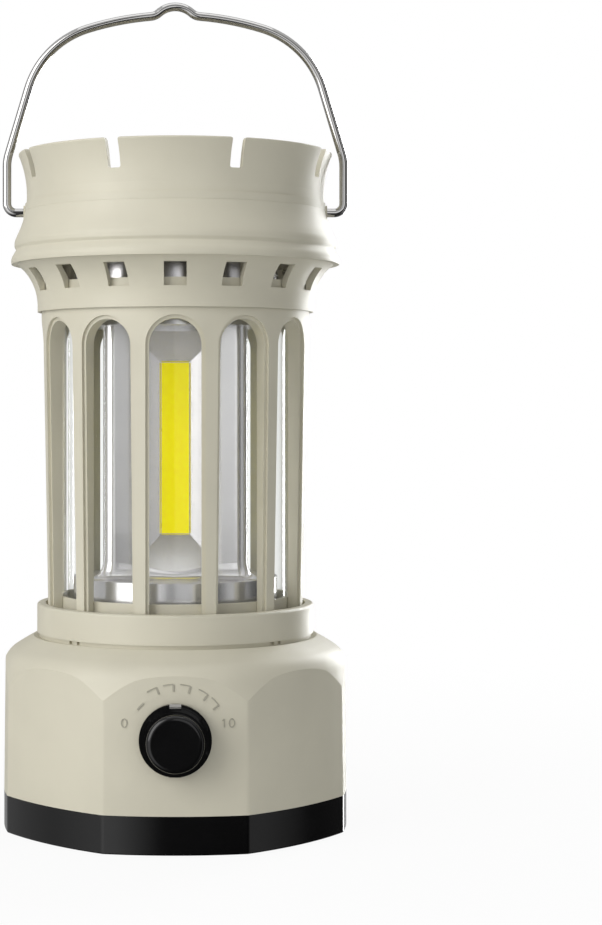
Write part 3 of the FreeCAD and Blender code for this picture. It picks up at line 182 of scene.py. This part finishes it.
CREAM = (0.600, 0.572, 0.462)

CLOUD_SCALE = 38.0
CLOUD_DETAIL = 4.0
CLOUD_STOPS = (0.35, 0.65)
PATCH_SCALE = 160.0
PATCH_GLOSS = (0.9, 1.12)
GRAIN_DETAIL = 2.0


def moulded(name, colour, roughness, grain=2600.0, bump=0.12, depth=0.06 * MM, mottle=0.03, specular=0.5):
    """Moulded plastic: faint mottling in the colour, uneven gloss and a fine grain."""
    s = Shader(name)
    body = s.principled(Specular_IOR_Level=specular)
    shades = (scaled(colour, 1 - mottle), scaled(colour, 1 + mottle))
    tint = s.ramp(s.noise(CLOUD_SCALE, CLOUD_DETAIL), 0, list(zip(CLOUD_STOPS, shades)))
    s.link(tint, 0, body, "Base Color")
    gloss = s.span(s.noise(PATCH_SCALE), 0, *(roughness * share for share in PATCH_GLOSS))
    s.link(gloss, 0, body, "Roughness")
    s.bump(s.noise(grain, GRAIN_DETAIL), 0, bump, depth, body)
    return s.material


MOULDED = {
    "cream_plastic": dict(colour=CREAM, roughness=0.46),
    "gloss_black": dict(colour=(0.0022, 0.0022, 0.0024), roughness=0.14, bump=0.02, mottle=0.15,
                        specular=0.4),
    "dark_plastic": dict(colour=(0.035, 0.035, 0.038), roughness=0.45),
    "cream_rubber": dict(colour=scaled(CREAM, 0.92), roughness=0.62, bump=0.2),
    "black_rubber": dict(colour=(0.022, 0.022, 0.022), roughness=0.75, grain=1800.0, bump=0.35),
    "grey_rubber": dict(colour=(0.33, 0.33, 0.31), roughness=0.6),
    "cell_can": dict(colour=(0.06, 0.20, 0.42), roughness=0.30, mottle=0.06),
    "circuit_board": dict(colour=(0.012, 0.13, 0.05), roughness=0.35, mottle=0.2),
    "lead_sleeve": dict(colour=(0.42, 0.03, 0.02), roughness=0.45),
    # moulded dial marks: the raised lines cast some real shade, and their darker grey paints in more of it
    "dial_grey": dict(colour=scaled(CREAM, 0.62), roughness=0.5),
    # pointer inlay on the knob's top lug: its light grey is a painted highlight, where light catches that
    # lug
    "pointer_grey": dict(colour=(0.42, 0.41, 0.39), roughness=0.4),
}

TARNISH_SCALE = 60.0
TARNISH_STOPS = ((0.3, 0.96), (0.7, 1.03))
MARK_DEPTH = 0.02 * MM


def metal(name, colour, roughness, grain=900.0, bump=0.05, spread=0.25, share=1.0):
    """Metal, or plating where the share is under 1: slightly uneven tone and polish, with fine marks."""
    s = Shader(name)
    body = s.principled(Metallic=share)
    stops = [(position, scaled(colour, factor)) for position, factor in TARNISH_STOPS]
    s.link(s.ramp(s.noise(TARNISH_SCALE), 0, stops), 0, body, "Base Color")
    marks = s.noise(grain)
    polish = s.span(marks, 0, roughness * (1 - spread), roughness * (1 + spread))
    s.link(polish, 0, body, "Roughness")
    if bump > 0:
        s.bump(marks, 0, bump, MARK_DEPTH, body)
    return s.material


METALS = {
    "steel_screw": dict(colour=(0.62, 0.61, 0.59), roughness=0.28),
    "steel_shell": dict(colour=(0.66, 0.66, 0.65), roughness=0.25),
    "brass_contact": dict(colour=(0.78, 0.58, 0.27), roughness=0.28),
    "aluminium_core": dict(colour=(0.80, 0.80, 0.80), roughness=0.32),
    "silver_plastic": dict(colour=(0.80, 0.79, 0.805), roughness=0.22, grain=120.0, bump=0.0, spread=0.06,
                           share=0.80),
    "polished_wire": dict(colour=(0.46, 0.455, 0.45), roughness=0.06, grain=300.0, bump=0.0),
}

TUBE_IOR = 1.30
TUBE_CLEAR = (0.985, 0.988, 0.985)
TUBE_SHEEN = (0.95, 0.96, 0.95)
TUBE_HAZE_SCALE = 90.0
TUBE_HAZE = (0.03, 0.07)


def clear_plastic():
    """Thin clear tube: lets light through, and mirrors more at a grazing angle from the air side."""
    s = Shader("clear_tube")
    through = s.add("ShaderNodeBsdfTransparent")
    through.inputs["Color"].default_value = (*TUBE_CLEAR, 1.0)
    gloss = s.add("ShaderNodeBsdfGlossy")
    gloss.inputs["Color"].default_value = (*TUBE_SHEEN, 1.0)
    s.link(s.span(s.noise(TUBE_HAZE_SCALE), 0, *TUBE_HAZE), 0, gloss, "Roughness")
    edge = s.add("ShaderNodeFresnel")
    edge.inputs["IOR"].default_value = TUBE_IOR
    air_side = s.add("ShaderNodeMath", operation="SUBTRACT")
    air_side.inputs[0].default_value = 1.0
    s.link(s.add("ShaderNodeNewGeometry"), "Backfacing", air_side, 1)
    share = s.combine("MULTIPLY", (edge, 0), (air_side, 0))
    s.finish(s.mix(share, 0, through, gloss))
    return s.material


LED_CHIP_SCALE = 620.0
LED_STOPS = [(0.0, (0.92, 0.80, 0.006)), (0.8, (0.84, 0.74, 0.008))]
# painted glow: the LED is not switched on, and this faint emission only brightens its yellow
LED_PAINTED_GLOW = 0.32
LED_SPECULAR = 0.15
LED_BUMP = (0.10, 0.1 * MM)  # strength and depth
LED_SKIN_SCALE = 300.0
LED_ROUGHNESS = (0.40, 0.50)


def led_phosphor():
    """Yellow silicone over the LED chips: a faint painted glow makes it read brighter than the lamps light
    it, and it is lumpy and a shade deeper between chips.
    """
    s = Shader("led_yellow")
    body = s.principled(Emission_Strength=LED_PAINTED_GLOW, Specular_IOR_Level=LED_SPECULAR)
    chips = s.add("ShaderNodeTexVoronoi")
    chips.inputs["Scale"].default_value = LED_CHIP_SCALE
    s.link(s.place(), "Object", chips, "Vector")
    tint = s.ramp(chips, 0, LED_STOPS)
    s.link(tint, 0, body, "Base Color")
    s.link(tint, 0, body, "Emission Color")
    s.bump(chips, 0, *LED_BUMP, body)
    s.link(s.span(s.noise(LED_SKIN_SCALE), 0, *LED_ROUGHNESS), 0, body, "Roughness")
    return s.material


def make_materials():
    materials = {name: moulded(name, **look) for name, look in MOULDED.items()}
    materials.update({name: metal(name, **look) for name, look in METALS.items()})
    materials["clear_tube"] = clear_plastic()
    materials["led_yellow"] = led_phosphor()
    return materials


def dress_nodes(materials):
    """Gives each CAD node the material that its record names."""
    slots = {part["node"]: part["material_slot"] for part in frame["record"]["subparts"]}
    for name, piece in nodes.items():
        for slot in piece.material_slots:
            slot.material = materials[slots[name]]


def piece_from(mesh, name, material, crease=None):
    """Makes an object of a bmesh. Given a crease angle, it is shaded smooth across flatter edges."""
    bmesh.ops.recalc_face_normals(mesh, faces=mesh.faces)
    if crease is not None:
        for facet in mesh.faces:
            facet.smooth = True
        for edge in mesh.edges:
            edge.smooth = edge.calc_face_angle(0.0) < crease
    data = bpy.data.meshes.new(name)
    mesh.to_mesh(data)
    mesh.free()
    data.materials.append(material)
    return add_object(name, data)


# ---- dial marks around the knob, moulded a little proud of the front facet; their darker grey is partly painted shade ----
DIAL_LINE = 0.36 * MM
DIAL_TICK = 0.60 * MM
DIAL_CREST = 0.8  # width of a line's flat top, as a share of its foot
DIAL_STAND = 0.22 * MM
DIAL_SINK = 0.12 * MM
DIAL_INNER = 13.3 * MM
DIAL_OUTER = 15.3 * MM
DIAL_FIRST = (142.0, 131.0)  # the first mark is a dash along the dial; angles up from the +X side
DIAL_TICKS = (110.0, 92.0, 74.0, 54.0, 38.0)
DIAL_DASH = 11.0  # how far each tick's own dash runs back along the dial
DIAL_STEPS = 5
NUMBER_HEIGHT = 2.3 * MM
NUMBER_WIDTH = 1.5 * MM
NUMBER_RISE = 4.4 * MM
LOW_ZERO = -14.2 * MM
TEN_ONE = 13.6 * MM
TEN_ZERO = 15.7 * MM
ZERO_CORNERS = 20
ONE_FLAG = NUMBER_WIDTH / 3


def facet_finder():
    """Gives the point of the front facet behind an (x, z) place."""
    housing = nodes["base_housing"].data
    tree = BVHTree.FromPolygons([v.co.copy() for v in housing.vertices],
                                [tuple(p.vertices) for p in housing.polygons])
    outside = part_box("dimmer_knob")[0][1]

    def on_facet(x, z):
        return tree.ray_cast(Vector((x, outside, z)), Vector((0.0, 1.0, 0.0)))[0]

    return on_facet


def ribbon(mesh, on_facet, path, closed=False, width=DIAL_LINE):
    """A thin raised line along (x, z) points, following the facet."""
    profile = ((1.0, -DIAL_SINK), (DIAL_CREST, DIAL_STAND), (-DIAL_CREST, DIAL_STAND), (-1.0, -DIAL_SINK))
    last = len(path) - 1
    rows = []
    for index, (x, z) in enumerate(path):
        before = path[index - 1] if closed or index > 0 else path[index]
        after = path[(index + 1) % len(path)] if closed or index < last else path[index]
        along = Vector((after[0] - before[0], 0.0, after[1] - before[1])).normalized()
        side = Vector((-along.z, 0.0, along.x)) * width / 2
        row = []
        for share, rise in profile:
            point = on_facet(x + side.x * share, z + side.z * share)
            row.append(mesh.verts.new(point - Vector((0.0, rise, 0.0))))
        rows.append(row)
    for first, second in zip(rows, rows[1:] + (rows[:1] if closed else [])):
        for low in range(len(profile)):
            high = (low + 1) % len(profile)
            mesh.faces.new((first[low], first[high], second[high], second[low]))
    if not closed:
        mesh.faces.new(rows[0])
        mesh.faces.new(list(reversed(rows[-1])))


def dial_point(centre, radius, angle):
    turn = math.radians(angle)
    return radius * math.cos(turn), centre + radius * math.sin(turn)


def dial_arc(centre, radius, start, end):
    step = (end - start) / DIAL_STEPS
    return [dial_point(centre, radius, start + step * k) for k in range(DIAL_STEPS + 1)]


def zero_outline(x, z):
    points = []
    for corner in range(ZERO_CORNERS):
        turn = math.tau * corner / ZERO_CORNERS
        points.append((x + math.cos(turn) * NUMBER_WIDTH / 2, z + math.sin(turn) * NUMBER_HEIGHT / 2))
    return points


def one_stem(x, z):
    return [(x, z - NUMBER_HEIGHT / 2), (x, z), (x, z + NUMBER_HEIGHT / 2)]


def one_flag(x, z):
    top = z + NUMBER_HEIGHT / 2
    return [(x - ONE_FLAG, top - ONE_FLAG), (x, top)]


def make_dial(material):
    """A dash, five ticks with their own dashes, and the numbers 0 and 10."""
    knob_low, knob_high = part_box("dimmer_knob")
    centre = (knob_low[2] + knob_high[2]) / 2
    on_facet = facet_finder()
    mesh = bmesh.new()
    ribbon(mesh, on_facet, dial_arc(centre, DIAL_INNER, *DIAL_FIRST), width=DIAL_TICK)
    for angle in DIAL_TICKS:
        tick = [dial_point(centre, radius, angle) for radius in (DIAL_INNER, DIAL_OUTER)]
        ribbon(mesh, on_facet, dial_arc(centre, DIAL_OUTER, angle + DIAL_DASH, angle))
        ribbon(mesh, on_facet, tick, width=DIAL_TICK)
    number_middle = centre + NUMBER_RISE
    ribbon(mesh, on_facet, zero_outline(LOW_ZERO, number_middle), closed=True)
    ribbon(mesh, on_facet, one_stem(TEN_ONE, number_middle))
    ribbon(mesh, on_facet, one_flag(TEN_ONE, number_middle))
    ribbon(mesh, on_facet, zero_outline(TEN_ZERO, number_middle), closed=True)
    dial = piece_from(mesh, "dial_marks", material)
    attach(dial, "lantern")


# ---- the tower's foot: a smooth flare from its three sides down to the drum ----
FOOT_FACE_FLARE = 2.0 * MM
FOOT_CORNER_FLARE = 5.0 * MM
FOOT_SINK = 0.3 * MM
FOOT_STEPS = 8
FOOT_TURNS = 180
FOOT_CREASE = math.radians(50)
SIDE_SPAN = 120.0  # degrees of a turn that each of the three sides takes
HALF_SPAN = SIDE_SPAN / 2
FRONT_ANGLE = -90.0  # the middle of the first side faces -Y


def tower_outline():
    """Gives the tower's distance from its axis, by the angle in degrees from the middle of a side."""
    low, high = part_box("tower_reflector")
    face = -low[1]
    corner_round = (face * math.sqrt(3) - high[0]) / (math.sqrt(3) - 1)
    reach = 2 * (face - corner_round)
    flat_end = math.degrees(math.atan2(reach * math.sin(math.radians(HALF_SPAN)), face))

    def side_at(off):
        if off < flat_end:
            return face / math.cos(math.radians(off))
        past = math.radians(HALF_SPAN - off)
        return reach * math.cos(past) + math.sqrt(corner_round ** 2 - (reach * math.sin(past)) ** 2)

    return side_at


def foot_profile(side, flare):
    """(distance from the axis, height) round the flare's section: its hollow curve, then its hidden back."""
    points = []
    for step in range(FOOT_STEPS + 1):
        lean = math.pi / 2 * step / FOOT_STEPS
        points.append((side + flare * (1 - math.sin(lean)), flare * (1 - math.cos(lean))))
    return points + [(side - FOOT_SINK, flare), (side - FOOT_SINK, 0.0)]


def make_tower_foot(material):
    """A hollow-curved skirt: low along the flat sides, taller at the three rounded corners."""
    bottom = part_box("tower_reflector")[0][2]
    side_at = tower_outline()
    mesh = bmesh.new()
    rows = []
    for turn in range(FOOT_TURNS):
        angle = math.tau * turn / FOOT_TURNS
        off = abs((math.degrees(angle) - FRONT_ANGLE + HALF_SPAN) % SIDE_SPAN - HALF_SPAN)
        way = off / HALF_SPAN
        ease = way ** 2 * (3 - 2 * way)
        flare = FOOT_FACE_FLARE + (FOOT_CORNER_FLARE - FOOT_FACE_FLARE) * ease
        rows.append([mesh.verts.new((out * math.cos(angle), out * math.sin(angle), bottom + rise))
                     for out, rise in foot_profile(side_at(off), flare)])
    for first, second in zip(rows, rows[1:] + rows[:1]):
        for index in range(len(first)):
            after = (index + 1) % len(first)
            mesh.faces.new((first[index], second[index], second[after], first[after]))
    foot = piece_from(mesh, "tower_foot", material, FOOT_CREASE)
    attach(foot, "lantern")


# ---- floor ----
FLOOR_HALF = 3.0
FLOOR_COLOUR = (0.72, 0.72, 0.71)
FLOOR_WHITE = (0.93, 1.0)  # how much of the floor's look is plain white, under the lantern and far off
FLOOR_FADE = (0.07, 0.40)  # the distances in metres where that share starts and stops growing


def floor_material():
    """Matt floor that the camera and clear pieces see as nearly white, and that mirrors see past."""
    s = Shader("floor_white")
    matt = s.add("ShaderNodeBsdfDiffuse")
    matt.inputs["Color"].default_value = (*FLOOR_COLOUR, 1.0)
    away = s.add("ShaderNodeVectorMath", operation="LENGTH")
    s.link(s.place(), "Object", away, 0)
    whiteness = s.span(away, "Value", *FLOOR_WHITE, *FLOOR_FADE)
    rays = s.add("ShaderNodeLightPath")
    share = s.combine("MULTIPLY", (s.seen(rays), 0), (whiteness, 0))
    look = s.mix(share, 0, matt, s.add("ShaderNodeEmission"))
    s.finish(s.mix(rays, "Is Glossy Ray", look, s.add("ShaderNodeBsdfTransparent")))
    return s.material


def make_floor():
    mesh = bpy.data.meshes.new("floor")
    half = FLOOR_HALF
    corners = [(-half, -half, 0), (half, -half, 0), (half, half, 0), (-half, half, 0)]
    mesh.from_pydata(corners, [], [(0, 1, 2, 3)])
    mesh.materials.append(floor_material())
    floor = add_object("floor", mesh)


# ---- surroundings: plain white to the camera, and a soft studio to mirrors ----
WORLD_LIGHT = 0.31
WORLD_TINT = (0.97, 0.98, 1.0)
STUDIO_LEVEL = 1.6
# the studio all round, by direction: (part of a turn from the left through the front, level)
STUDIO_WALLS = ((0.0, 0.30), (0.07, 0.60), (0.13, 0.95), (0.185, 0.80), (0.235, 0.04), (0.39, 0.02),
                (0.425, 0.36), (0.455, 0.32), (0.52, 0.03), (0.60, 0.04), (0.68, 0.35), (0.80, 0.22),
                (0.90, 0.35), (1.0, 0.30))
# its ceiling and its ground: (height of the direction where it starts, where it is full, level)
STUDIO_ENDS = ((0.35, 0.85, 0.50), (-0.45, -0.85, 0.03))
# sockets of a Mix node that blends colours
BLEND_FIRST = 6
BLEND_SECOND = 7
BLEND_RESULT = 2


def grey(level):
    return (level, level, level)


def background(w, strength, colour=WHITE):
    node = w.add("ShaderNodeBackground")
    node.inputs["Color"].default_value = (*colour, 1.0)
    node.inputs["Strength"].default_value = strength
    return node


def studio_background(w):
    """Soft walls all round, blended into an even ceiling and ground."""
    direction = w.place()
    around = w.add("ShaderNodeTexGradient", gradient_type="RADIAL")
    w.link(direction, "Generated", around, "Vector")
    walls = w.ramp(around, "Fac", [(position, grey(level)) for position, level in STUDIO_WALLS])
    split = w.add("ShaderNodeSeparateXYZ")
    w.link(direction, "Generated", split, 0)
    last, last_out = walls, "Color"
    for start, end, level in STUDIO_ENDS:
        blend = w.add("ShaderNodeMix", data_type="RGBA")
        w.link(w.span(split, "Z", 0.0, 1.0, start, end), 0, blend, "Factor")
        w.link(last, last_out, blend, BLEND_FIRST)
        blend.inputs[BLEND_SECOND].default_value = (*grey(level), 1.0)
        last, last_out = blend, BLEND_RESULT
    studio = background(w, STUDIO_LEVEL)
    w.link(last, last_out, studio, "Color")
    return studio


def make_world():
    world = bpy.data.worlds.new("surroundings")
    bpy.context.scene.world = world
    world.use_nodes = True
    w = Tree(world.node_tree, "ShaderNodeOutputWorld")
    rays = w.add("ShaderNodeLightPath")
    lit = w.mix(rays, "Is Glossy Ray", background(w, WORLD_LIGHT, WORLD_TINT), studio_background(w))
    w.finish(w.mix(w.seen(rays), 0, lit, background(w, 1.0)))


# ---- lights, all aimed at the lantern's middle: (name, place, width and height, watts, colour) ----
LIGHT_AIM = Vector((0.0, 0.0, 0.12))
LIGHTS = (
    ("key", (-1.0, -0.8, 0.6), (1.1, 1.3), 14.0, (1.0, 0.99, 0.975)),
    ("fill", (0.35, -1.3, 0.35), (0.8, 0.8), 2.2, WHITE),
    ("rim", (0.62, 0.80, 0.25), (0.3, 1.0), 11.0, (0.98, 0.99, 1.0)),
    ("top", (0.0, -0.1, 1.3), (0.9, 0.9), 2.5, WHITE),
)


def make_light(name, place, size, power, colour):
    data = bpy.data.lights.new(name, "AREA")
    data.shape = "RECTANGLE"
    data.size, data.size_y = size
    data.energy = power
    data.color = colour
    light = add_object(name, data)
    light.location = place
    light.rotation_euler = (LIGHT_AIM - Vector(place)).to_track_quat("-Z", "Y").to_euler()


make_camera()
materials = make_materials()
dress_nodes(materials)
make_dial(materials["dial_grey"])
make_tower_foot(materials["silver_plastic"])
make_floor()
make_world()
for light in LIGHTS:
    make_light(*light)

bpy.context.scene.view_settings.view_transform = "Standard"
